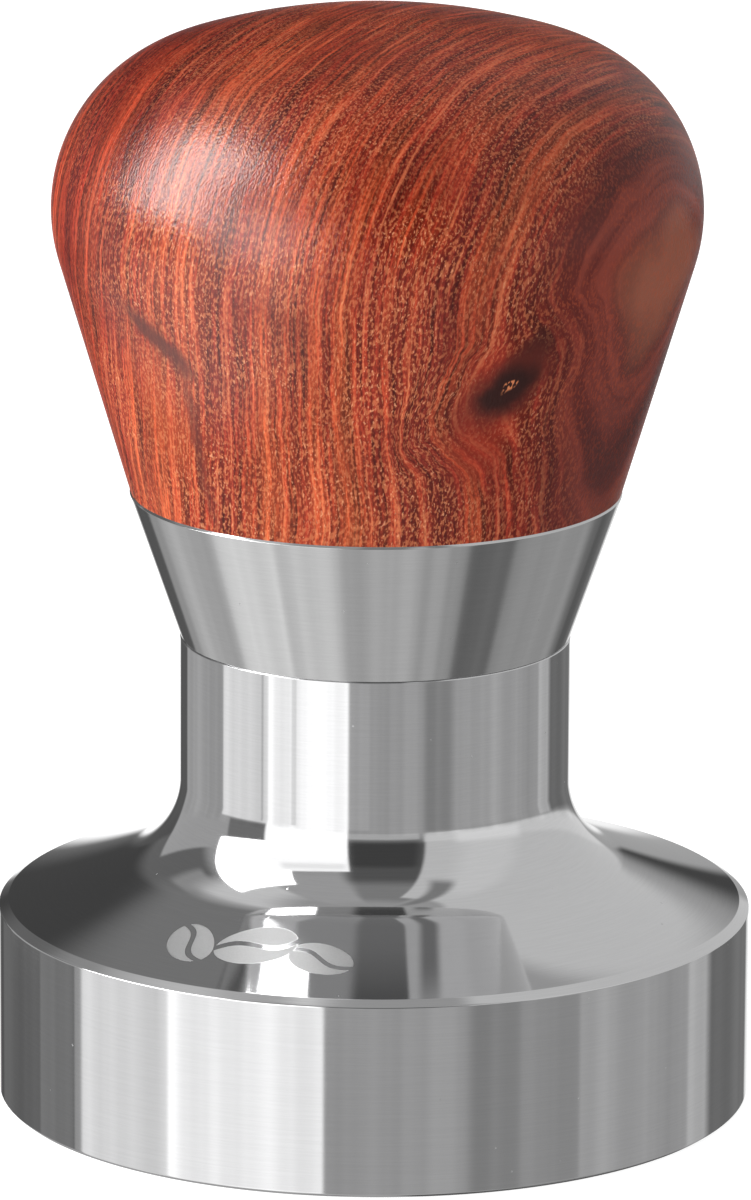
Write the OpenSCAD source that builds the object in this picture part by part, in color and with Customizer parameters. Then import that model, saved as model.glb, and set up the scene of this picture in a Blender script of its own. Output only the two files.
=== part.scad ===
// Espresso tamper: a turned steel piston with a neck, a conical ferrule and a
// turned hardwood knob, joined by an M8 stud. The handle unscrews from the base.
// Millimetres. +Z is up, the tamping face lies on Z = 0 and the axis is the Z axis.

/* [Base] */
// Diameter of the tamping face
base_d = 51; // [48:0.5:60]
// Height of the piston's straight side
rim_h = 13.05; // [8:0.05:14]
// Width of the bevel around the top of the rim
bevel_w = 0.65; // [0.3:0.05:1.2]
// Height of the bevel around the top of the rim
bevel_h = 0.4; // [0.2:0.05:0.8]
// Slope of the piston's top at the rim, in degrees
rim_slope = 17; // [12:0.5:19]
// Slope of the piston's top at the fillet, in degrees
foot_slope = 22; // [20:0.5:26]
// Size of the broken edge around the tamping face
face_edge = 0.2; // [0.1:0.05:0.5]

/* [Neck] */
// Diameter of the neck
neck_d = 26.4; // [24:0.1:28]
// Radius of the fillet between the piston and the neck
fillet_r = 6.1; // [5:0.1:8]
// Height at which the neck meets the ferrule
neck_top = 31.85; // [31:0.05:34]

/* [Ferrule] */
// Diameter of the ferrule where it meets the wood
ferrule_top_d = 33.2; // [32.5:0.1:35]
// Height at which the ferrule meets the wood
ferrule_top = 41.95; // [41.5:0.05:44]
// Thickness of the ferrule's floor
floor_t = 3.3; // [2.6:0.1:4]
// Bevel on the neck and the ferrule where they meet
seam_edge = 0.05; // [0.05:0.05:0.2]
// Bevel on the ferrule where it meets the wood
lip_edge = 0.15; // [0.05:0.05:0.3]

/* [Handle] */
// Height of the whole tamper
total_h = 74.5; // [72:0.5:80]
// Largest diameter of the knob
knob_d = 43.66; // [42:0.02:46]
// Radius of the knob's shoulder
shoulder_r = 11.7; // [10:0.1:13]
// Radius of the knob's crown
crown_r = 45.1; // [38:0.1:55]
// Diameter of the tenon that sits in the ferrule
tenon_d = 24; // [22:0.1:24.5]

/* [Screw joint] */
// Diameter of the stud
stud_d = 8; // [6:1:8]
// Pitch of the thread
pitch = 1.25; // [1:0.25:1.25]
// Height of the stud's lower end above the tamping face
stud_low = 20; // [19:0.25:21]
// Height of the stud's upper end above the tamping face
stud_high = 47.5; // [46:0.25:48]
// Number of turns of thread that hold the stud in the base
grip_turns = 7; // [4:1:7]
// Outside diameter of the threaded insert
insert_d = 12; // [11:0.5:13]
// Mean diameter of the seal ring
seal_d = 18; // [17:0.5:20]

/* [Hidden] */
$fn = 96;

steel = [0.80, 0.81, 0.82];
satin_steel = [0.70, 0.70, 0.71];
hardwood = [0.56, 0.25, 0.13];
brass = [0.78, 0.62, 0.30];
zinc_steel = [0.60, 0.62, 0.64];
rubber = [0.08, 0.08, 0.08];

over = 0.3;                 // overlap that keeps cuts clean
big = 2 * base_d;           // larger than any part

base_r = base_d / 2;
neck_r = neck_d / 2;
rim_r = base_r - bevel_w;   // inner edge of the rim's bevel
rim_z = rim_h + bevel_h;

// Top of the piston: a wide shallow arc from the rim, then the fillet, tangent to it and to the neck
foot_x = neck_r + fillet_r * (1 - sin(foot_slope));
sweep_r = (rim_r - foot_x) / (sin(foot_slope) - sin(rim_slope));
sweep_x = rim_r + sweep_r * sin(rim_slope);
sweep_z = rim_z + sweep_r * cos(rim_slope);
foot_z = sweep_z - sweep_r * cos(foot_slope);
fillet_x = neck_r + fillet_r;
fillet_z = foot_z + fillet_r * cos(foot_slope);
sweep_sides = 1440;         // keeps the shallow arc smooth

// Ferrule
ferrule_top_r = ferrule_top_d / 2;
floor_z = neck_top + floor_t;
seam_r = neck_r - seam_edge; // outer edge of the ferrule's foot, just inside the neck
glue_gap = 0.05;            // around the tenon
tenon_end_gap = 0.2;        // under the tenon

// Knob: a cone, then the shoulder arc, then the crown arc, each tangent to the last
tenon_r = tenon_d / 2;
tenon_z = floor_z + tenon_end_gap;
tenon_groove = 0.3;         // depth of the glue grooves
wood_step = 0.05;           // the wood stands this much inside the ferrule's edge
wood_r = ferrule_top_r - wood_step;
shoulder_x = knob_d / 2 - shoulder_r;
crown_z = total_h - crown_r;
shoulder_z = crown_z + sqrt(pow(crown_r - shoulder_r, 2) - pow(shoulder_x, 2));
crown_angle = atan2(shoulder_z - crown_z, shoulder_x);
crown_end_x = crown_r * cos(crown_angle);
crown_end_z = crown_z + crown_r * sin(crown_angle);
flare_run = norm([wood_r - shoulder_x, shoulder_z - ferrule_top]);
flare_angle = atan2(shoulder_z - ferrule_top, wood_r - shoulder_x) - acos(shoulder_r / flare_run);
flare_x = shoulder_x + shoulder_r * cos(flare_angle);
flare_z = shoulder_z - shoulder_r * sin(flare_angle);

// Thread: metric profile, with play in the base and in the insert
stud_r = stud_d / 2;
thread_play = 0.06;
thread_depth = 0.6134 * pitch;
root_w = 0.25;              // of a pitch
flank_w = 0.3125;           // of a pitch
crest_w = 0.125;            // of a pitch
facets = 24;                // sides in one turn of the thread
thread_start = stud_low - pitch / (4 * facets);
grip_top = stud_low + grip_turns * pitch;
hole_low = stud_low - pitch;            // lower end of the tapped hole's thread
hole_high = grip_top - pitch / 4;       // upper end of the tapped hole's thread
shank_turns = 7;            // length of the plain shank, in turns of the thread
insert_grip_low = grip_top + shank_turns * pitch; // lower end of the insert's thread
root_r = stud_r - thread_depth;
drill_margin = 0.05;        // the drill is this much smaller than the thread's root
drill_r = root_r - drill_margin;
point_w = 0.8;              // bevel at each end of the stud
shank_step = 0.05;          // the shank is this much larger than the thread
shank_r = stud_r + shank_step;
shank_hole_r = shank_r + thread_play;
mouth_w = 0.8;              // countersink at the mouth of the tapped hole
floor_hole_play = 0.25;     // between the shank and the ferrule's floor
floor_hole_r = shank_r + floor_hole_play;

// Insert: a collar and saw-tooth barbs outside, a thread inside
insert_r = insert_d / 2;
insert_top = stud_high + pitch;
collar_w = 1.5;
collar_r = insert_r + collar_w;
collar_t = 1.2;
collar_play = 0.1;
barb_w = 0.3;
barbs = 5;
barb_low = tenon_z + collar_t;
barb_h = (insert_top - barb_low) / barbs;
wood_hole_end = 0.7;        // depth of the hole in the wood past the insert

// Seal ring, flattened between the neck and the groove in the ferrule
seal_r = seal_d / 2;
seal_cord_r = 0.8;
groove_h = 1.35;
groove_w = 1.9;

// A threaded rod from z_low to z_high, whose radius is larger than the nominal
// by grow. All threads share one phase, so they stay in mesh.
module thread(z_low, z_high, grow) {
    crest_r = stud_r + grow;
    starts = [0, root_w, root_w + flank_w, root_w + flank_w + crest_w];
    radii = [root_r + grow, root_r + grow, crest_r, crest_r];
    turns = ceil((z_high - z_low) / pitch) + 2;
    first = floor((z_low - stud_low) / pitch) - 1;
    rows = 4 * turns + 1;
    points = [
        for (i = [0:facets - 1], j = [0:rows - 1])
            let (a = 360 * i / facets, r = radii[j % 4], turn = first + floor(j / 4) + starts[j % 4])
            [r * cos(a), r * sin(a), thread_start + pitch * (turn + i / facets)]
    ];
    low_tip = facets * rows;
    high_tip = low_tip + 1;
    tips = [
        [0, 0, thread_start + pitch * (first - 1)],
        [0, 0, thread_start + pitch * (first + turns + 2)]
    ];
    // The last column joins the first one a whole turn higher
    function at(i, j) = i < facets ? i * rows + j : j + 4;
    last = rows - 5;
    sides = [
        for (i = [0:facets - 1], j = [0:(i < facets - 1 ? rows - 2 : last - 1)])
            each [[at(i, j), at(i, j + 1), at(i + 1, j + 1)], [at(i, j), at(i + 1, j + 1), at(i + 1, j)]]
    ];
    low_cap = [
        for (i = [0:facets - 1]) [low_tip, at(i, 0), at(i + 1, 0)],
        for (j = [0:3]) [low_tip, j + 1, j]
    ];
    high_cap = [
        for (i = [0:facets - 2]) [high_tip, at(i + 1, rows - 1), at(i, rows - 1)],
        [high_tip, rows - 1, at(facets - 1, last)],
        for (j = [last:rows - 2]) [high_tip, at(facets - 1, j), at(facets - 1, j + 1)]
    ];
    intersection() {
        polyhedron(concat(points, tips), concat(sides, low_cap, high_cap));
        translate([0, 0, z_low]) cylinder(r = 2 * stud_r, h = z_high - z_low);
    }
}

// Turns a closed outline, drawn as radius and height, about the Z axis
module turned() {
    rotate_extrude() intersection() {
        children();
        square(big);
    }
}

module base() color(steel) difference() {
    turned() difference() {
        polygon([
            [0, 0], [base_r - face_edge, 0], [base_r, face_edge], [base_r, rim_h], [rim_r, rim_z],
            [foot_x, foot_z], [fillet_x, fillet_z], [neck_r, fillet_z],
            [neck_r, neck_top - seam_edge], [neck_r - seam_edge, neck_top], [0, neck_top]
        ]);
        translate([fillet_x, fillet_z]) circle(fillet_r);
        intersection() {
            translate([sweep_x, sweep_z]) circle(sweep_r, $fn = sweep_sides);
            polygon([[foot_x, foot_z], [rim_r, rim_z], [rim_r, rim_h], [foot_x, rim_h]]);
        }
    }
    thread(hole_low, hole_high + over, thread_play);
    turned() polygon([
        [0, hole_low - over - drill_r / 2], [drill_r, hole_low - over], [drill_r, hole_low + over],
        [0, hole_low + over]
    ]);
    turned() polygon([
        [0, hole_high], [shank_hole_r, hole_high], [shank_hole_r, neck_top - mouth_w],
        [shank_hole_r + mouth_w + over, neck_top + over], [0, neck_top + over]
    ]);
}

module ferrule() color(satin_steel) turned() difference() {
    polygon([
        [floor_hole_r, neck_top], [seam_r - seam_edge, neck_top], [seam_r, neck_top + seam_edge],
        [ferrule_top_r, ferrule_top - lip_edge], [ferrule_top_r - lip_edge, ferrule_top],
        [tenon_r + glue_gap, ferrule_top], [tenon_r + glue_gap, floor_z], [floor_hole_r, floor_z]
    ]);
    translate([seal_r - groove_w / 2, 0]) square([groove_w, neck_top + groove_h]);
}

// The knob's outline above the ferrule
module knob_outline() {
    polygon([
        [0, ferrule_top], [wood_r, ferrule_top], [flare_x, flare_z],
        [shoulder_x, shoulder_z], [crown_end_x, crown_end_z], [0, crown_end_z]
    ]);
    translate([shoulder_x, shoulder_z]) circle(shoulder_r);
    intersection() {
        translate([0, crown_z]) circle(crown_r);
        translate([0, crown_end_z]) square([crown_end_x, big]);
    }
}

// The tenon, with three grooves that hold glue
module tenon_outline() difference() {
    translate([0, tenon_z]) square([tenon_r, ferrule_top - tenon_z]);
    for (i = [1:3])
        translate([tenon_r - tenon_groove, tenon_z + i * (ferrule_top - tenon_z) / 4])
            square(2 * tenon_groove);
}

module handle_knob() color(hardwood) turned() difference() {
    union() {
        knob_outline();
        tenon_outline();
    }
    translate([0, tenon_z]) square([collar_r + collar_play, collar_t]);
    polygon([
        [0, tenon_z], [insert_r, tenon_z], [insert_r, insert_top + wood_hole_end],
        [0, insert_top + wood_hole_end + insert_r / 2]
    ]);
}

module threaded_insert() color(brass) difference() {
    turned() polygon([
        [0, tenon_z], [collar_r, tenon_z], [collar_r, barb_low],
        for (i = [0:barbs - 1]) each [
            [insert_r + barb_w, barb_low + i * barb_h],
            [insert_r, barb_low + (i + 1) * barb_h]
        ],
        [0, insert_top]
    ]);
    thread(insert_grip_low - over, insert_top + over, thread_play);
    translate([0, 0, tenon_z - over]) cylinder(r = shank_hole_r, h = insert_grip_low - tenon_z + over);
}

// The stud: two threaded ends, bevelled, and a plain shank between them
module stud() color(zinc_steel) union() {
    intersection() {
        turned() polygon([
            [0, stud_low], [stud_r - point_w, stud_low], [stud_r, stud_low + point_w],
            [stud_r, stud_high - point_w], [stud_r - point_w, stud_high], [0, stud_high]
        ]);
        union() {
            thread(stud_low - over, grip_top + over, -thread_play);
            thread(insert_grip_low - over, stud_high + over, -thread_play);
        }
    }
    translate([0, 0, grip_top]) cylinder(r = shank_r, h = insert_grip_low - grip_top);
}

module seal_ring() color(rubber) turned() intersection() {
    translate([seal_r, neck_top + groove_h / 2]) circle(seal_cord_r);
    translate([0, neck_top]) square([big, groove_h]);
}

base();
ferrule();
handle_knob();
threaded_insert();
stud();
seal_ring();
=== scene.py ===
"""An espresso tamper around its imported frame: turned steel, a hardwood knob, a plain studio and a camera.

Lengths are in metres, but the materials read the place on the object in millimetres. +Z is up and the front
of the tamper faces -Y. In the materials and the studio, angles round Z are counted from the front, positive
towards +X.
"""
import math

import bpy
from mathutils import Euler, Matrix, Vector


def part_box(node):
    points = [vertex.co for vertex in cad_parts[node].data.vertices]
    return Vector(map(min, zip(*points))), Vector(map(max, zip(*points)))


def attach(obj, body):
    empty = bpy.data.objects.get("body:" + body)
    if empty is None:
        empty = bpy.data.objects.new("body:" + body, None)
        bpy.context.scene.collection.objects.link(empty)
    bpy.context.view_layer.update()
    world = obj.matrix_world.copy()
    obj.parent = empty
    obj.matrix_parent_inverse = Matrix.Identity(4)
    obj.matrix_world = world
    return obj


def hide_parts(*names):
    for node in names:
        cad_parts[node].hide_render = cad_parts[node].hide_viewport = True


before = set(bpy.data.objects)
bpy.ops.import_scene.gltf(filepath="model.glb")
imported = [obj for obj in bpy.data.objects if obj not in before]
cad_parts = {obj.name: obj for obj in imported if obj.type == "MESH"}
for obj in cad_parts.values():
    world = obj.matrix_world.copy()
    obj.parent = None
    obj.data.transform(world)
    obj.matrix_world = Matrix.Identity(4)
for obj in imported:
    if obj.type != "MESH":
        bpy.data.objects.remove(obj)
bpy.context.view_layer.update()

MM = 0.001

# ---------------------------------------------------------------- sizes, from the frame where it has them
KNOB_LOW, KNOB_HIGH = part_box("handle_knob")
STUD_LOW, STUD_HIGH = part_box("stud")

BASE_R = 25.5 * MM
NECK_R = 13.2 * MM
NECK_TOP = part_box("base")[1][2]
RIM_H = 13.05 * MM
BEVEL_W = 0.65 * MM
BEVEL_H = 0.4 * MM
RIM_SLOPE = 17              # degrees, at the rim
FOOT_SLOPE = 22             # degrees, at the fillet
FILLET_R = 6.1 * MM
FACE_EDGE = 0.2 * MM
SEAM_EDGE = 0.05 * MM

LIP_EDGE = 0.15 * MM
FERRULE_TOP_R = 16.6 * MM
FERRULE_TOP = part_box("ferrule")[1][2]
FLOOR_Z = NECK_TOP + 3.3 * MM
GLUE_GAP = 0.05 * MM

TENON_Z = KNOB_LOW[2]
TENON_R = 12.0 * MM
TENON_GROOVE = 0.3 * MM
WOOD_R = FERRULE_TOP_R - 0.05 * MM
KNOB_R = 21.83 * MM
KNOB_TOP = KNOB_HIGH[2]
SHOULDER_R = 11.7 * MM
CROWN_R = 45.1 * MM

PITCH = 1.25 * MM
STUD_R = 4.0 * MM
POINT_W = 0.8 * MM
SHANK_R = 4.05 * MM
SHANK_HOLE_R = 4.11 * MM
SHANK_TURNS = 7             # length of the plain shank, in turns of the thread
GRIP_TURNS = 7              # turns of thread that hold the stud in the base
MOUTH_W = 0.8 * MM
THREAD_DEPTH = 0.6134 * PITCH
THREAD_PLAY = 0.06 * MM
ROOT_R = STUD_R - THREAD_DEPTH
DRILL_R = ROOT_R - 0.05 * MM
STUD_BOTTOM = STUD_LOW[2]
STUD_TOP = STUD_HIGH[2]
FACETS = 24                 # sides in one turn of the CAD thread
THREAD_START = STUD_BOTTOM - PITCH / (4 * FACETS)
GRIP_TOP = STUD_BOTTOM + GRIP_TURNS * PITCH
HOLE_LOW = STUD_BOTTOM - PITCH
HOLE_HIGH = GRIP_TOP - PITCH / 4
INSERT_GRIP_LOW = GRIP_TOP + SHANK_TURNS * PITCH
FLOOR_HOLE_R = SHANK_R + 0.25 * MM

INSERT_R = 6.0 * MM
INSERT_TOP = STUD_TOP + PITCH
COLLAR_R = INSERT_R + 1.5 * MM
COLLAR_T = 1.2 * MM
BARB_W = 0.3 * MM
BARBS = 5
COLLAR_PLAY = 0.1 * MM
WOOD_HOLE_END = 0.7 * MM    # depth of the hole in the wood past the insert

SEAL_R = 9.0 * MM
SEAL_CORD_R = 0.8 * MM
GROOVE_H = 1.35 * MM
GROOVE_W = 1.9 * MM

SIDES = 256                 # round the turned pieces
THREAD_SIDES = 96           # round the hidden threaded pieces


# ---------------------------------------------------------------- outlines and turned meshes
def arc(centre, radius, start, end, step=3.0):
    """Points of an arc, in degrees from +r towards +z."""
    count = max(2, math.ceil(abs(end - start) / step))
    angles = [math.radians(start + (end - start) * i / count) for i in range(count + 1)]
    return [(centre[0] + radius * math.cos(a), centre[1] + radius * math.sin(a)) for a in angles]


def softened(corners, radius):
    """Rounds each corner of an open outline by a small radius and holds the flats straight beside it."""
    hold = 0.06 * MM
    straight = math.radians(12)
    share = 0.4             # of a flat that a rounding may take
    steps = 4
    out = [corners[0]]
    for before, corner, after in zip(corners, corners[1:], corners[2:]):
        a, b, c = Vector(before), Vector(corner), Vector(after)
        to_a, to_c = (a - b).normalized(), (c - b).normalized()
        angle = to_a.angle(to_c)
        if math.pi - angle < straight:
            out.append(corner)
            continue
        reach = min(radius / math.tan(angle / 2), share * (a - b).length, share * (c - b).length)
        start, end = b + to_a * reach, b + to_c * reach
        if (a - b).length > 2.5 * (reach + hold):
            out.append(tuple(start + to_a * hold))
        for i in range(steps + 1):
            t = i / steps
            out.append(tuple(start.lerp(b, t).lerp(b.lerp(end, t), t)))
        if (c - b).length > 2.5 * (reach + hold):
            out.append(tuple(end + to_c * hold))
    out.append(corners[-1])
    return out


def new_object(name, vertices, faces):
    mesh = bpy.data.meshes.new(name)
    mesh.from_pydata(vertices, [], faces)
    mesh.validate()
    mesh.update()
    thing = bpy.data.objects.new(name, mesh)
    bpy.context.scene.collection.objects.link(thing)
    return thing


def turned(name, outline, sides=SIDES, closed=False):
    """A solid of revolution about Z. An open outline starts and ends on the axis. A radius may be a
    function of the angle, which is how a thread is turned."""
    vertices, rings = [], []
    for r, z in outline:
        if not callable(r) and r < 1e-7:
            rings.append([len(vertices)])
            vertices.append((0.0, 0.0, z))
            continue
        rings.append(range(len(vertices), len(vertices) + sides))
        for k in range(sides):
            a = 2 * math.pi * k / sides
            reach = r(a) if callable(r) else r
            vertices.append((reach * math.cos(a), reach * math.sin(a), z))
    faces = []
    pairs = list(zip(rings, rings[1:]))
    if closed:
        pairs.append((rings[-1], rings[0]))
    for low, high in pairs:
        for k in range(sides):
            m = (k + 1) % sides
            ends = [low[k % len(low)], low[m % len(low)], high[m % len(high)], high[k % len(high)]]
            faces.append(list(dict.fromkeys(ends)))
    thing = new_object(name, vertices, faces)
    thing.data.shade_smooth()
    return thing


def thread_radius(angle, z, grow):
    """Radius of the right-hand thread at an angle and a height, larger than nominal by grow."""
    root_w, flank_w = 0.25, 0.3125
    place = ((z - THREAD_START) / PITCH - angle / (2 * math.pi)) % 1.0
    height = min((place - root_w) / flank_w, (1.0 - place) / flank_w, 1.0)
    return ROOT_R + grow + THREAD_DEPTH * max(height, 0.0)


def threaded(start, end, grow, limit=lambda z: 1.0):
    """Outline rows of a thread between two heights, kept inside a limiting radius."""
    steps = round(abs(end - start) / PITCH * 16)
    rows = []
    for i in range(steps + 1):
        z = start + (end - start) * i / steps
        rows.append((lambda a, z=z: min(thread_radius(a, z, grow), limit(z)), z))
    return rows


# ---------------------------------------------------------------- nodes
class Nodes:
    """A small helper that adds and links shader nodes."""

    def __init__(self, tree):
        self.tree = tree
        tree.nodes.clear()

    def add(self, kind, settings=None, **inputs):
        node = self.tree.nodes.new(kind)
        for key, value in (settings or {}).items():
            setattr(node, key, value)
        for key, value in inputs.items():
            self.feed(node, key.replace("_", " "), value)
        return node

    def feed(self, node, key, value):
        socket = node.inputs[int(key[2:])] if key.startswith("in") and key[2:].isdigit() else node.inputs[key]
        if isinstance(value, bpy.types.NodeSocket):
            self.tree.links.new(value, socket)
        else:
            socket.default_value = value

    def math(self, operation, *values, clamp=False):
        node = self.tree.nodes.new("ShaderNodeMath")
        node.operation = operation
        node.use_clamp = clamp
        for i, value in enumerate(values):
            self.feed(node, f"in{i}", value)
        return node.outputs[0]

    def vector(self, operation, *values, scale=None):
        node = self.tree.nodes.new("ShaderNodeVectorMath")
        node.operation = operation
        for i, value in enumerate(values):
            self.feed(node, f"in{i}", value)
        if scale is not None:
            self.feed(node, "Scale", scale)
        return node.outputs["Value" if operation in ("DOT_PRODUCT", "LENGTH", "DISTANCE") else "Vector"]

    def span(self, value, low, high, to_low=0.0, to_high=1.0):
        """Maps low..high smoothly to to_low..to_high and holds the ends."""
        node = self.add("ShaderNodeMapRange", {"interpolation_type": "SMOOTHSTEP"}, Value=value,
                        From_Min=low, From_Max=high, To_Min=to_low, To_Max=to_high)
        return node.outputs[0]

    def noise(self, place, scale, detail=2.0, roughness=0.5, colour=False):
        node = self.add("ShaderNodeTexNoise", Vector=place, Scale=scale, Detail=detail, Roughness=roughness)
        return node.outputs["Color" if colour else "Fac"]

    def join(self, x, y, z):
        return self.add("ShaderNodeCombineXYZ", X=x, Y=y, Z=z).outputs[0]

    def ramp(self, value, stops):
        """Stops are (place, grey or colour)."""
        node = self.tree.nodes.new("ShaderNodeValToRGB")
        node.color_ramp.interpolation = "LINEAR"
        elements = node.color_ramp.elements
        while len(elements) > 1:
            elements.remove(elements[-1])
        for i, (place, colour) in enumerate(stops):
            element = elements[0] if i == 0 else elements.new(place)
            element.position = place
            rgb = (colour,) * 3 if isinstance(colour, (int, float)) else tuple(colour)
            element.color = (*rgb, 1.0)
        self.feed(node, "in0", value)
        return node.outputs["Color"]

    def mix(self, kind, factor, a, b):
        node = self.tree.nodes.new("ShaderNodeMix")
        node.data_type = "RGBA"
        node.blend_type = kind
        for key, value in ((0, factor), (6, a), (7, b)):
            value = (*value, 1.0) if isinstance(value, tuple) and len(value) == 3 else value
            self.feed(node, f"in{key}", value)
        return node.outputs[2]


def material(name):
    made = bpy.data.materials.new(name)
    made.use_nodes = True
    return made, Nodes(made.node_tree)


def object_place(n):
    """The place on the object, in millimetres."""
    return n.vector("SCALE", n.add("ShaderNodeTexCoord").outputs["Object"], scale=1000.0)


def surface(n, **inputs):
    """Ends a material with one principled shader."""
    shader = n.add("ShaderNodeBsdfPrincipled", **inputs)
    n.feed(n.add("ShaderNodeOutputMaterial"), "Surface", shader.outputs[0])


def dress(thing, made):
    thing.data.materials.clear()
    thing.data.materials.append(made)


def polar(n, place):
    """Angle round Z from the front, distance from Z, and height, for a place in millimetres."""
    x, y, z = n.add("ShaderNodeSeparateXYZ", Vector=place).outputs
    angle = n.math("ARCTAN2", x, n.math("MULTIPLY", y, -1.0))
    radius = n.math("SQRT", n.math("ADD", n.math("MULTIPLY", x, x), n.math("MULTIPLY", y, y)))
    return angle, radius, z


# Coffee beans etched on the sloping top of the piston, in millimetres and radians from their common centre:
# sideways, outwards, turn, half length, half width
BEANS = (
    (-4.6, 0.6, 0.75, 2.3, 1.55),
    (0.0, -0.2, -0.35, 2.9, 1.95),
    (4.6, 0.6, 0.35, 2.3, 1.55),
)
BEANS_ANGLE = math.radians(-23)
BEANS_R = 20.0


def etched_beans(n, place):
    """Mask of the etched coffee beans, each with a waving crease."""
    angle, radius, height = polar(n, place)
    u = n.math("MULTIPLY", n.math("SUBTRACT", angle, BEANS_ANGLE), BEANS_R)
    v = n.math("SUBTRACT", radius, BEANS_R)
    mask = None
    for sideways, outwards, turn, half_length, half_width in BEANS:
        du = n.math("SUBTRACT", u, sideways)
        dv = n.math("SUBTRACT", v, outwards)
        cos, sin = math.cos(turn), math.sin(turn)
        lengthwise = n.math("ADD", n.math("MULTIPLY", du, cos), n.math("MULTIPLY", dv, sin))
        crosswise = n.math("SUBTRACT", n.math("MULTIPLY", dv, cos), n.math("MULTIPLY", du, sin))
        a = n.math("DIVIDE", lengthwise, half_length)
        b = n.math("DIVIDE", crosswise, half_width)
        edge = n.math("SQRT", n.math("ADD", n.math("MULTIPLY", a, a), n.math("MULTIPLY", b, b)))
        body = n.span(edge, 1.0, 0.95)
        wave = n.math("MULTIPLY", n.math("SINE", n.math("MULTIPLY", a, 3.0)), 0.25)
        crease = n.math("ABSOLUTE", n.math("SUBTRACT", b, wave))
        bean = n.math("MULTIPLY", body, n.span(crease, 0.10, 0.16))
        mask = bean if mask is None else n.math("MAXIMUM", mask, bean)
    above_rim = n.span(height, 13.0, 13.2)
    return n.math("MULTIPLY", mask, above_rim)


def steel(name, colour, roughness, grain, etched=False):
    """Turned and polished steel: faint turning marks round Z, fine scratches and a little dust."""
    made, n = material(name)
    place = object_place(n)
    angle, radius, height = polar(n, place)
    marks = n.noise(n.join(radius, height, n.math("MULTIPLY", angle, 0.6)), 9.0, 4.0, 0.7)
    smear = n.noise(place, 0.25, 3.0)
    around = n.join(n.math("MULTIPLY", angle, 3.0), n.math("MULTIPLY", height, 9.0),
                    n.math("MULTIPLY", radius, 9.0))
    scratches = n.span(n.noise(around, 1.6, 2.0), 0.70, 0.78)
    cells = n.add("ShaderNodeTexVoronoi", Vector=place, Scale=0.45).outputs["Distance"]
    dust = n.span(cells, 0.05, 0.02)
    rough = n.math("ADD", n.math("MULTIPLY", smear, roughness * 0.7), roughness * 0.65)
    rough = n.math("ADD", rough, n.math("MULTIPLY", scratches, 0.05))
    rough = n.math("ADD", rough, n.math("MULTIPLY", dust, 0.35))
    tone = n.mix("MIX", n.span(marks, 0.35, 0.65), tuple(c * 0.965 for c in colour), colour)
    bump = n.add("ShaderNodeBump", Strength=grain, Distance=0.01 * MM, Height=marks)
    if etched:
        mask = etched_beans(n, place)
        frost = n.mix("MIX", n.noise(place, 12.0, 2.0), (0.44, 0.44, 0.44), (0.58, 0.58, 0.58))
        tone = n.mix("MIX", mask, tone, frost)
        rough = n.math("ADD", n.math("MULTIPLY", mask, 0.5), rough, clamp=True)
    surface(n, Base_Color=tone, Metallic=1.0, Roughness=rough, Normal=bump.outputs[0])
    return made


def turned_metal(name, colour, roughness):
    """Machined metal of the hidden screw parts: tool marks and slight staining."""
    made, n = material(name)
    place = object_place(n)
    angle, radius, height = polar(n, place)
    marks = n.noise(n.join(radius, height, n.math("MULTIPLY", angle, 0.5)), 6.0, 3.0, 0.7)
    stain = n.noise(place, 0.5, 4.0, 0.6)
    tone = n.mix("MIX", n.span(stain, 0.35, 0.7), tuple(c * 0.8 for c in colour), colour)
    rough = n.math("ADD", n.math("MULTIPLY", stain, 0.25), roughness)
    bump = n.add("ShaderNodeBump", Strength=0.25, Distance=0.02 * MM, Height=marks)
    surface(n, Base_Color=tone, Metallic=1.0, Roughness=rough, Normal=bump.outputs[0])
    return made


def black_rubber():
    """Matt black rubber with a grey bloom."""
    made, n = material("rubber")
    place = object_place(n)
    bloom = n.noise(place, 1.2, 4.0, 0.6)
    grain = n.noise(place, 14.0, 2.0)
    tone = n.mix("MIX", n.span(bloom, 0.4, 0.75), (0.012, 0.012, 0.012), (0.035, 0.034, 0.033))
    rough = n.math("ADD", n.math("MULTIPLY", grain, 0.2), 0.45)
    bump = n.add("ShaderNodeBump", Strength=0.3, Distance=0.03 * MM, Height=grain)
    surface(n, Base_Color=tone, Roughness=rough, Normal=bump.outputs[0])
    return made


# The wood's colours
MAROON = (0.135, 0.0115, 0.0066)
RED_BROWN = (0.240, 0.0220, 0.0086)
ORANGE = (0.395, 0.060, 0.0170)
PEACH = (0.660, 0.212, 0.082)
PALE_TAN = (0.480, 0.140, 0.050)
PORE_TAN = (0.74, 0.32, 0.16)
HEART_BLACK = (0.058, 0.0080, 0.0055)
DARK_HEART = (0.100, 0.0125, 0.0075)
HEART_RED = (0.180, 0.029, 0.016)
HEART_TAN = (0.22, 0.066, 0.034)
EMBER = (0.270, 0.020, 0.0055)
KNOT_BROWN = (0.085, 0.012, 0.007)
KNOT_BLACK = (0.020, 0.006, 0.005)
TAIL_BLACK = (0.040, 0.0070, 0.0050)
SCAR_BROWN = (0.085, 0.018, 0.012)
STREAK_BROWN = (0.10, 0.018, 0.012)


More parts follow.
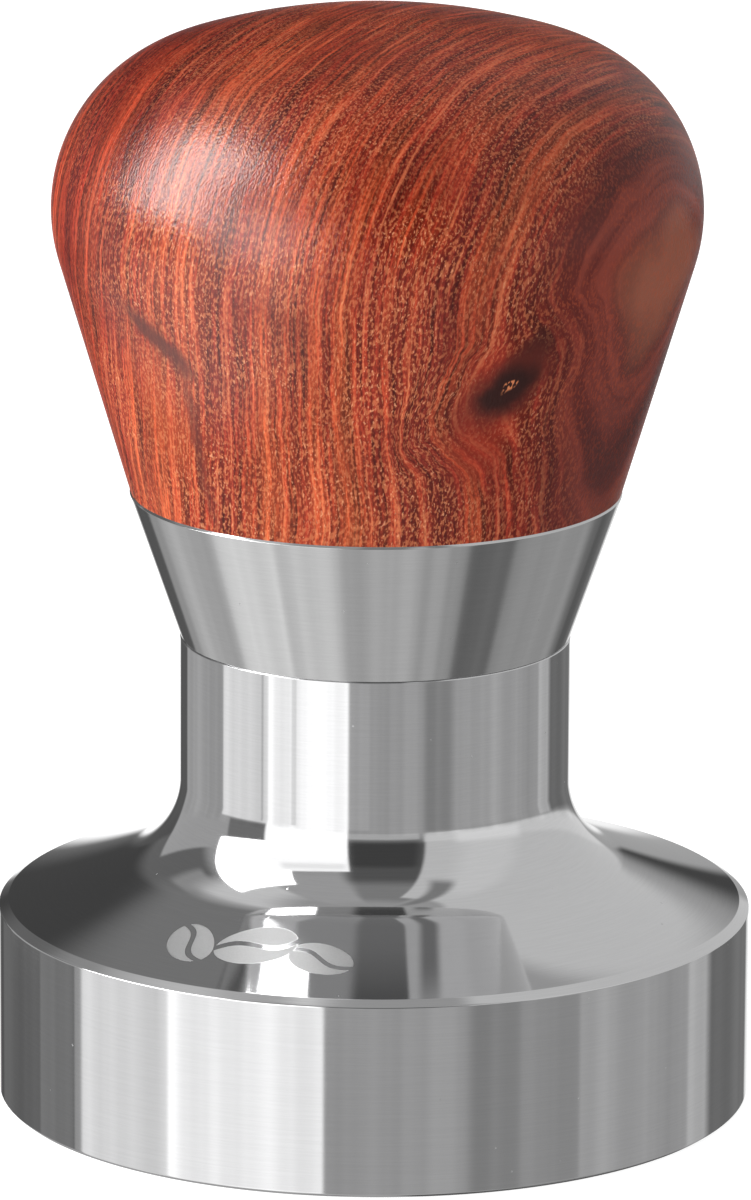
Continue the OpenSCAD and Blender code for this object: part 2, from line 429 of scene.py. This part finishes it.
class Timber:
    """The wood's fields: the distance across its layers, noises stretched along them, and places for marks.

    Lengths are in millimetres. The layers are flat, but they wander a little and bend round the knot.
    """

    LAYERS_FACE = math.radians(63)
    LAYERS_TILT = math.radians(-8)
    LEVEL = 55.0            # height at which the distance across is not shifted by the tilt
    KNOT_ACROSS = 16.5      # the knot's distance across the layers

    def __init__(self, n):
        self.n = n
        self.place = object_place(n)
        turn, tilt = self.LAYERS_FACE, self.LAYERS_TILT
        facing = (math.sin(turn) * math.cos(tilt), -math.cos(turn) * math.cos(tilt), math.sin(tilt))
        sideways = (math.cos(turn), math.sin(turn), 0.0)
        wave = n.vector("SUBTRACT", n.noise(self.place, 0.06, 2.0, colour=True), (0.5, 0.5, 0.5))
        ripple = n.vector("SUBTRACT", n.noise(self.place, 0.5, 2.0, colour=True), (0.5, 0.5, 0.5))
        wander = n.vector("ADD", n.vector("SCALE", wave, scale=2.4), n.vector("SCALE", ripple, scale=0.26))
        bent = n.vector("ADD", self.place, wander)
        flat = n.math("SUBTRACT", n.vector("DOT_PRODUCT", bent, facing), self.LEVEL * math.sin(tilt))
        self.along = n.vector("DOT_PRODUCT", bent, sideways)
        self.height = n.add("ShaderNodeSeparateXYZ", Vector=self.place).outputs[2]
        self.ragged = n.vector("ADD", self.place, n.vector("SCALE", ripple, scale=1.6))
        self.knot = self.mark(25.5, 19.9, 53.0, 2.6, 1.45, -34)
        from_knot = n.math("SUBTRACT", flat, self.KNOT_ACROSS)
        pull = n.math("MULTIPLY", from_knot, n.span(self.knot, 1.0, 3.6, 0.65, 0.0))
        self.across = n.math("SUBTRACT", flat, pull)

        self.mottle = self.grain(1.0, 0.75, 0.42, 6.4, 1.5, 0.55)
        self.specks = self.grain(1.0, 0.8, 0.4, 8.8, 0.0)
        self.density = n.noise(self.place, 0.16, 3.0)
        crowding = n.span(self.density, 0.32, 0.58, 0.40, 1.0)
        self.pores = n.math("MULTIPLY", n.span(self.mottle, 0.50, 0.62), crowding)
        self.heart = n.span(self.across, 16.4, 19.0)

    def grain(self, a, b, c, scale, detail=2.0, roughness=0.5):
        """Noise stretched by a across the layers, b along them and c up the wood."""
        n = self.n
        stretched = n.join(n.math("MULTIPLY", self.across, a), n.math("MULTIPLY", self.along, b),
                           n.math("MULTIPLY", self.height, c))
        return n.noise(stretched, scale, detail, roughness)

    def spot(self, place, angle, radius, height, half_width, half_height, lean=0.0, depth=9.0):
        """Distance from the middle of a spot on the wood, 1 at its edge. Angles are in degrees."""
        turn = math.radians(angle)
        middle = (radius * math.sin(turn), -radius * math.cos(turn), height)
        node = self.n.add("ShaderNodeMapping", {"vector_type": "TEXTURE"}, Vector=place, Location=middle,
                          Rotation=(0.0, math.radians(lean), turn), Scale=(half_width, depth, half_height))
        return self.n.vector("LENGTH", node.outputs[0])

    def mark(self, angle, radius, height, half_width, half_height, lean):
        """A spot with a ragged edge."""
        return self.spot(self.ragged, angle, radius, height, half_width, half_height, lean)


def sapwood(n, wood):
    """Bands, lines and threads of colour, with pores that show as pale flecks and dark dashes."""
    bands = wood.grain(1.0, 0.05, 0.03, 0.42, 4.0, 0.6)
    lines = wood.grain(1.0, 0.035, 0.022, 2.9, 2.0, 0.6)
    threads = wood.grain(1.0, 0.05, 0.03, 5.5, 1.0, 0.5)
    tone = n.ramp(bands, [(0.30, MAROON), (0.44, RED_BROWN), (0.62, ORANGE), (0.78, PEACH)])
    tone = n.mix("MULTIPLY", 1.0, tone, n.ramp(lines, [(0.32, 0.38), (0.48, 0.90), (0.64, 1.58)]))
    tone = n.mix("MULTIPLY", 1.0, tone, n.ramp(threads, [(0.32, 0.64), (0.68, 1.32)]))
    tone = n.mix("MIX", n.span(lines, 0.58, 0.70, 0.0, 0.45), tone, PEACH)
    tone = n.mix("MIX", n.math("MULTIPLY", wood.pores, 0.45), tone, PEACH)
    crowding = n.span(wood.density, 0.36, 0.60, 0.25, 1.0)
    glints = n.math("MULTIPLY", n.span(wood.specks, 0.68, 0.77), crowding)
    tone = n.mix("MIX", n.math("MULTIPLY", glints, 0.62), tone, PORE_TAN)
    return n.mix("MULTIPLY", n.span(wood.mottle, 0.47, 0.34, 0.0, 0.6), tone, (0.45, 0.36, 0.36))


def add_heartwood_and_painted_shade(n, wood, tone):
    """Paints shade on the wood towards its edges and its top, broken up by the rings on the right, and turns
    it into dark, calm, ringed heartwood on the right.
    """
    rings = wood.grain(1.0, 0.03, 0.03, 1.3, 3.0, 0.6)
    # Painted shade towards the right of the knob, broken up by the wood's rings
    shade = n.math("MULTIPLY", n.span(wood.across, 10.5, 17.0), n.ramp(rings, [(0.36, 0.80), (0.60, 0.25)]))
    tone = n.mix("MULTIPLY", shade, tone, (0.56, 0.50, 0.54))
    # Painted shade at the far left edge of the knob, where the lamp reaches less
    tone = n.mix("MULTIPLY", n.span(wood.across, -9.0, -14.0), tone, (0.66, 0.42, 0.44))
    # Painted shade over the top of the knob
    tone = n.mix("MULTIPLY", n.span(wood.height, 62.0, 76.0, 0.0, 0.75), tone, (0.58, 0.44, 0.52))
    calm = n.ramp(rings, [(0.34, HEART_BLACK), (0.50, DARK_HEART), (0.64, HEART_RED)])
    calm = n.mix("MIX", n.span(wood.across, 19.9, 20.7, 0.0, 0.8), calm, HEART_TAN)
    calm = n.mix("MIX", n.math("MULTIPLY", wood.pores, 0.24), calm, ORANGE)
    tone = n.mix("MIX", wood.heart, tone, calm)
    low_heart = n.math("MULTIPLY", wood.heart, n.span(wood.height, 55.0, 45.0))
    return n.mix("MULTIPLY", low_heart, tone, (0.66, 0.58, 0.62))


def add_knot(n, wood, tone):
    """A black knot on the right, with a dark tail, pale flecks in it and a red glow below."""
    tail = wood.mark(29.0, 20.2, 54.9, 1.3, 2.8, 36)
    glow = wood.mark(22.5, 19.8, 51.5, 3.4, 7.0, 12)
    flecks = wood.mark(26.0, 19.9, 53.1, 0.85, 0.4, -34)
    lit = n.math("MULTIPLY", n.span(glow, 1.0, 0.35, 0.0, 0.6), n.math("SUBTRACT", 1.0, wood.heart))
    tone = n.mix("MIX", lit, tone, EMBER)
    tone = n.mix("MIX", n.span(tail, 1.5, 0.3, 0.0, 0.92), tone, TAIL_BLACK)
    tone = n.mix("MIX", n.span(wood.knot, 1.9, 0.95, 0.0, 0.75), tone, KNOT_BROWN)
    tone = n.mix("MIX", n.span(wood.knot, 1.25, 0.5, 0.0, 0.95), tone, KNOT_BLACK)
    pale = n.math("MULTIPLY", n.span(flecks, 1.0, 0.6), n.span(wood.specks, 0.46, 0.60, 0.0, 0.8))
    return n.mix("MIX", pale, tone, PEACH)


def add_scar(n, wood, tone):
    """A scar on the left: a dark slanting line over a pale patch, and a dark streak below it."""
    patch = wood.mark(-47, 18.9, 49.6, 2.4, 5.2, -6)
    scar = wood.mark(-44.5, 20.6, 55.4, 3.6, 0.85, 38)
    streak = wood.mark(-39.5, 18.5, 48.0, 0.5, 7.0, 0)
    tone = n.mix("MIX", n.span(patch, 1.3, 0.3, 0.0, 0.4), tone, n.mix("MIX", wood.pores, ORANGE, PALE_TAN))
    tone = n.mix("MIX", n.span(scar, 1.4, 0.4, 0.0, 0.9), tone, SCAR_BROWN)
    return n.mix("MIX", n.span(streak, 1.5, 0.4, 0.0, 0.65), tone, STREAK_BROWN)


def hardwood():
    """Reddish hardwood with a lacquer that shines most on the left shoulder."""
    made, n = material("hardwood")
    wood = Timber(n)
    tone = add_heartwood_and_painted_shade(n, wood, sapwood(n, wood))
    tone = add_scar(n, wood, add_knot(n, wood, tone))
    sheen = n.span(wood.spot(wood.place, -36, 19, 61, 8.5, 10, 0, 14), 0.7, 1.4, 1.0, 0.33)
    rough = n.span(wood.pores, 0.0, 1.0, 0.45, 0.6)
    relief = n.math("ADD", wood.mottle, n.math("MULTIPLY", wood.specks, 0.8))
    bump = n.add("ShaderNodeBump", Strength=0.5, Distance=0.05 * MM, Height=relief)
    surface(n, Base_Color=tone, Roughness=rough, Normal=bump.outputs[0], Specular_IOR_Level=0.03,
            Coat_Weight=sheen, Coat_Roughness=0.25, Coat_IOR=1.6, Coat_Normal=bump.outputs[0])
    return made


# ---------------------------------------------------------------- the pieces
def base_outline():
    """Half outline of the piston: a wide shallow arc in from the rim, then the fillet, then the neck."""
    rim_r, rim_z = BASE_R - BEVEL_W, RIM_H + BEVEL_H
    outer, inner = math.radians(RIM_SLOPE), math.radians(FOOT_SLOPE)
    foot_x = NECK_R + FILLET_R * (1 - math.sin(inner))
    sweep_r = (rim_r - foot_x) / (math.sin(inner) - math.sin(outer))
    sweep = (rim_r + sweep_r * math.sin(outer), rim_z + sweep_r * math.cos(outer))
    fillet = (NECK_R + FILLET_R, sweep[1] + (FILLET_R - sweep_r) * math.cos(inner))
    curve = arc(sweep, sweep_r, 270 - RIM_SLOPE, 270 - FOOT_SLOPE, 0.25)[1:]
    curve += arc(fillet, FILLET_R, 270 - FOOT_SLOPE, 180, 2.0)[1:]
    low = softened([(0, 0), (BASE_R - FACE_EDGE, 0), (BASE_R, FACE_EDGE), (BASE_R, RIM_H), (rim_r, rim_z),
                    curve[0]], 0.08 * MM)
    high = softened([curve[-1], (NECK_R, NECK_TOP - SEAM_EDGE), (NECK_R - SEAM_EDGE, NECK_TOP),
                     (SHANK_HOLE_R + MOUTH_W, NECK_TOP), (SHANK_HOLE_R, NECK_TOP - MOUTH_W),
                     (SHANK_HOLE_R, HOLE_HIGH)], 0.02 * MM)
    return low[:-1] + curve + high[1:]


def make_base():
    hole = threaded(HOLE_HIGH, HOLE_LOW, THREAD_PLAY)
    drilled = HOLE_LOW - 0.3 * MM
    point = [(DRILL_R, HOLE_LOW), (DRILL_R, drilled), (0, drilled - DRILL_R / 2)]
    return turned("base_turned", base_outline() + hole + point)


def make_ferrule():
    foot_r = NECK_R - SEAM_EDGE
    outer = softened([(SEAL_R + GROOVE_W / 2, NECK_TOP), (foot_r - SEAM_EDGE, NECK_TOP),
                      (foot_r, NECK_TOP + SEAM_EDGE),
                      (FERRULE_TOP_R, FERRULE_TOP - LIP_EDGE), (FERRULE_TOP_R - LIP_EDGE, FERRULE_TOP),
                      (TENON_R + GLUE_GAP, FERRULE_TOP)], 0.02 * MM)
    inner = [(TENON_R + GLUE_GAP, FLOOR_Z), (FLOOR_HOLE_R, FLOOR_Z), (FLOOR_HOLE_R, NECK_TOP)]
    groove = [(SEAL_R - GROOVE_W / 2, NECK_TOP), (SEAL_R - GROOVE_W / 2, NECK_TOP + GROOVE_H),
              (SEAL_R + GROOVE_W / 2, NECK_TOP + GROOVE_H)]
    return turned("ferrule_turned", outer + inner + groove, closed=True)


def knob_outline():
    """Half outline of the knob: a cone, the shoulder arc and the crown arc, each tangent to the last."""
    shoulder_x = KNOB_R - SHOULDER_R
    crown_z = KNOB_TOP - CROWN_R
    shoulder_z = crown_z + math.sqrt((CROWN_R - SHOULDER_R) ** 2 - shoulder_x ** 2)
    crown_angle = math.degrees(math.atan2(shoulder_z - crown_z, shoulder_x))
    run = math.hypot(WOOD_R - shoulder_x, shoulder_z - FERRULE_TOP)
    rise = math.atan2(shoulder_z - FERRULE_TOP, WOOD_R - shoulder_x)
    flare = math.degrees(rise - math.acos(SHOULDER_R / run))
    shoulder = arc((shoulder_x, shoulder_z), SHOULDER_R, -flare, crown_angle, 2.0)
    crown = arc((0, crown_z), CROWN_R, crown_angle, 90, 1.0)
    hole_top = INSERT_TOP + WOOD_HOLE_END
    hole = [(0, hole_top + INSERT_R / 2), (INSERT_R, hole_top), (INSERT_R, TENON_Z + COLLAR_T),
            (COLLAR_R + COLLAR_PLAY, TENON_Z + COLLAR_T), (COLLAR_R + COLLAR_PLAY, TENON_Z)]
    tenon = [(TENON_R, TENON_Z)]
    for i in (1, 2, 3):
        z = TENON_Z + i * (FERRULE_TOP - TENON_Z) / 4
        tenon += [(TENON_R, z), (TENON_R - TENON_GROOVE, z), (TENON_R - TENON_GROOVE, z + 2 * TENON_GROOVE),
                  (TENON_R, z + 2 * TENON_GROOVE)]
    edge = softened([(TENON_R, FERRULE_TOP), (WOOD_R, FERRULE_TOP), shoulder[0]], 0.05 * MM)
    return hole + tenon + edge[:-1] + shoulder + crown[1:-1] + [(0, KNOB_TOP)]


def make_knob():
    return turned("knob_turned", knob_outline())


def make_stud():
    def tip(z):
        return STUD_R - POINT_W + min(z - STUD_BOTTOM, STUD_TOP - z)

    low = threaded(STUD_BOTTOM, GRIP_TOP, -THREAD_PLAY, tip)
    high = threaded(INSERT_GRIP_LOW, STUD_TOP, -THREAD_PLAY, tip)
    shank = [(SHANK_R, GRIP_TOP), (SHANK_R, INSERT_GRIP_LOW)]
    return turned("stud_turned", [(0, STUD_BOTTOM)] + low + shank + high + [(0, STUD_TOP)],
                  THREAD_SIDES)


def make_insert():
    barb_low = TENON_Z + COLLAR_T
    barb_h = (INSERT_TOP - barb_low) / BARBS
    outside = [(SHANK_HOLE_R, TENON_Z), (COLLAR_R, TENON_Z), (COLLAR_R, barb_low)]
    for i in range(BARBS):
        outside += [(INSERT_R + BARB_W, barb_low + i * barb_h), (INSERT_R, barb_low + (i + 1) * barb_h)]
    inside = threaded(INSERT_TOP, INSERT_GRIP_LOW, THREAD_PLAY)
    outline = outside + inside + [(SHANK_HOLE_R, INSERT_GRIP_LOW)]
    return turned("insert_turned", outline, THREAD_SIDES, closed=True)


def make_seal():
    middle = (SEAL_R, NECK_TOP + GROOVE_H / 2)
    swing = math.degrees(math.asin(GROOVE_H / 2 / SEAL_CORD_R))
    outer = arc(middle, SEAL_CORD_R, -swing, swing, 6.0)
    inner = arc(middle, SEAL_CORD_R, 180 - swing, 180 + swing, 6.0)
    return turned("seal_moulded", outer + inner, closed=True)


# ---------------------------------------------------------------- studio
# Light and dark panels round the tamper, laid in order, each over the ones before it: left, right, low and
# high edge, brightness, softness of the edges, and lean sideways for each degree of height. Edges and
# softness are in degrees.
BACKDROP = 0.42             # brightness behind the panels
LEAN_LEVEL = 20.0           # height at which a leaning panel stands where its edges say
PANELS = (
    # The dim wall behind at the left, and the ceiling from there to the front
    (-200, -110, -6, 42, 0.17, 6, 0),
    (-190, -158, 2, 34, 0.07, 5, 0),
    (-145, -118, 33, 44, 0.36, 3, 0),
    (-136, -72, 44, 67, 0.76, 7, 0),
    (-200, -146, 33, 66, 0.24, 6, 0),
    (-72, -15, 44, 80, 0.46, 5, 0),
    (-122, -86, 69, 77, 1, 3, -1),
    (-16, 45, 40, 79, 0.28, 6, 0),
    # The dark camera side
    (-18, 34, 1, 54, 0.12, 7, 0),
    (-14, 26, 3, 34, 0.07, 4, 0),
    # The grey wall on the right
    (29.5, 165, -3, 73, 0.69, 1.5, 0),
    (52, 88, -2, 64, 0.77, 9, 0),
    (22, 40, 50, 82, 0.27, 5, 0.55),
    (29, 164, -8, 3, 0.79, 2, 0),
    (48, 92, -7.5, 5, 0.94, 4, 0),
    # A dark gap behind
    (168, 186, 4.6, 24, 0.07, 2, 0),
    # The table, and light and dark cloths on it
    (-200, 200, -100, -8.3, 0.42, 1.2, 0),
    (-100, -60, -100, -30, 1.05, 3, 0),
    (-60, -14, -100, -30, 0.86, 6, 0),
    (-15, 30, -100, -7, 0.44, 2, 0),
    (-16, 26, -7.5, -0.5, 0.56, 1, 0),
    (-16, -3, -16, -12, 0.53, 1.5, 0),
    (30, 47, -100, -9, 0.32, 3, 0),
    (28, 45, -100, -27, 0.52, 3, 0),
    (-140, -97, -100, -28, 0.60, 4, 0),
    (-22, 30, -100, -30, 0.57, 6, 0),
    (52, 95, -24, -9, 0.49, 5, 0),
    (56, 84, -100, -30, 0.20, 3, 0),
    (113, 124, -26, -9, 0.56, 1, 0),
    (126, 165, -28, -9, 0.20, 2, 0),
    (146, 168, -100, -22, 0.12, 2, 0),
    # Screens at the left and behind
    (-147, -93, -18, 17, 0.46, 1.3, 0),
    (-167, -147, -28, 4, 0.11, 2, 0),
    (-194, -170, -40, -4, 1.2, 3, 0),
    (166, 190, -40, -8, 0.9, 3, 0),
    # The left lamp, with its dark foot and the light it throws on the table
    (-93, -65.5, -9, 7.5, 0.22, 1.2, 0),
    (-101, -66, -32, -10.5, 1.02, 1, 0),
    (-101, -48, 8.5, 54, 7.6, 1.5, -0.3),
    # The front left lamp, with its bright middle
    (-66, -15.3, -34, 39.5, 1.55, 1.2, 0),
    (-63, -45, -34, -10, 1.3, 3, 0),
    (-62, -18, -6, 22, 3.4, 3, 0),
    (-58, -17, 30, 37, 1.2, 3, 0),
    # Low strips that show in the straight rim of the piston
    (-60, -15.3, -19, -15.8, 1.27, 0.5, 0),
    (-160, -104.5, -19, -15.8, 0.16, 0.6, 0),
    (-124, -105, -19, -15.8, 0.26, 0.8, 0),
    (46, 66, -19, -15.8, 0.37, 0.8, 0),
    # Thin frames that show in the neck
    (-70.5, -69, -16.2, -12.5, 0.72, 0.3, 0),
    (-50, -47, -16.2, -12.5, 0.95, 0.6, 0),
)


def studio():
    """The light comes from the world: soft lamps at the left, grey walls and a dark camera side."""
    world = bpy.data.worlds.new("studio")
    bpy.context.scene.world = world
    world.use_nodes = True
    n = Nodes(world.node_tree)
    direction = n.add("ShaderNodeTexCoord").outputs["Generated"]
    across, along, up = n.add("ShaderNodeSeparateXYZ", Vector=direction).outputs
    azimuth = n.math("DEGREES", n.math("ARCTAN2", across, n.math("MULTIPLY", along, -1.0)))
    height = n.math("DEGREES", n.math("ARCSINE", up))
    light = BACKDROP
    for left, right, low, high, brightness, soft, lean in PANELS:
        place = azimuth
        if lean:
            above = n.math("SUBTRACT", height, LEAN_LEVEL)
            place = n.math("SUBTRACT", azimuth, n.math("MULTIPLY", above, lean))
        inside = None
        for value, start, way in ((place, left, 1), (place, right, -1), (height, low, 1), (height, high, -1)):
            edge = n.span(value, start - way * soft, start + way * soft)
            inside = edge if inside is None else n.math("MULTIPLY", inside, edge)
        if isinstance(light, float):
            light = n.math("MULTIPLY_ADD", inside, brightness - light, light)
        else:
            light = n.math("MULTIPLY_ADD", inside, n.math("SUBTRACT", brightness, light), light)

    # The light below the horizon varies a little with the azimuth: soft upright streaks on the straight steel
    uneven = n.noise(n.join(azimuth, n.math("MULTIPLY", height, 0.05), 0.0), 0.075, 2.5, 0.5)
    streaks = n.span(uneven, 0.30, 0.70, 0.87, 1.13)
    below = n.span(height, -2.0, -8.0)
    light = n.math("MULTIPLY", light, n.math("MULTIPLY_ADD", below, n.math("SUBTRACT", streaks, 1.0), 1.0))
    glow = n.add("ShaderNodeBackground", Color=n.join(light, light, light), Strength=1.0)
    n.feed(n.add("ShaderNodeOutputWorld"), "Surface", glow.outputs[0])


def floor():
    """A pale floor that glows a little, so that the shadow on it is faint. The steel doesn't mirror it."""
    size = 1.6
    below = 0.02 * MM
    plane = new_object("floor", [(-size, -size, 0), (size, -size, 0), (size, size, 0), (-size, size, 0)],
                       [(0, 1, 2, 3)])
    plane.location.z = -below
    made, n = material("pale_floor")
    white = n.add("ShaderNodeBsdfDiffuse", Color=(0.5, 0.5, 0.5, 1))
    glow = n.add("ShaderNodeEmission", Color=(1, 1, 1, 1), Strength=0.80)
    both = n.add("ShaderNodeAddShader")
    n.feed(both, "in0", white.outputs[0])
    n.feed(both, "in1", glow.outputs[0])
    n.feed(n.add("ShaderNodeOutputMaterial"), "Surface", both.outputs[0])
    dress(plane, made)
    plane.visible_glossy = False


def camera():
    """Looks down at the front of the tamper from about two thirds of a metre away."""
    lens = bpy.data.cameras.new("camera")
    lens.lens = 293.26
    lens.clip_start = 0.05
    lens.clip_end = 20
    view = bpy.data.objects.new("camera", lens)
    bpy.context.scene.collection.objects.link(view)
    place = Matrix.Translation((0, -0.63975, 0.19698))
    down, roll = 0.2492, 0.0051
    aim = Euler((math.pi / 2 - down, 0, 0)).to_matrix().to_4x4()
    view.matrix_world = place @ aim @ Matrix.Rotation(roll, 4, "Z")
    bpy.context.scene.camera = view


bpy.context.scene.view_settings.view_transform = "Standard"
camera()
studio()
floor()

POLISHED = steel("polished_steel", (0.66, 0.66, 0.665), 0.05, 0.05, etched=True)
SATIN = steel("satin_steel", (0.60, 0.60, 0.60), 0.09, 0.08)
WOOD = hardwood()
BRASS = turned_metal("brass", (0.80, 0.60, 0.28), 0.22)
ZINC = turned_metal("zinc_steel", (0.62, 0.64, 0.66), 0.28)
RUBBER = black_rubber()

for thing, node, body, slot, finish in (
    (make_base(), "base", "base", "polished_steel", POLISHED),
    (make_ferrule(), "ferrule", "handle", "satin_steel", SATIN),
    (make_knob(), "handle_knob", "handle", "hardwood", WOOD),
    (make_insert(), "threaded_insert", "handle", "brass", BRASS),
    (make_stud(), "stud", "handle", "zinc_steel", ZINC),
    (make_seal(), "seal_ring", "seal", "rubber", RUBBER),
):
    dress(thing, finish)
    thing.visible_glossy = node != "handle_knob"    # the metal mirrors only greys, never the red wood
    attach(thing, body)
    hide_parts(node)
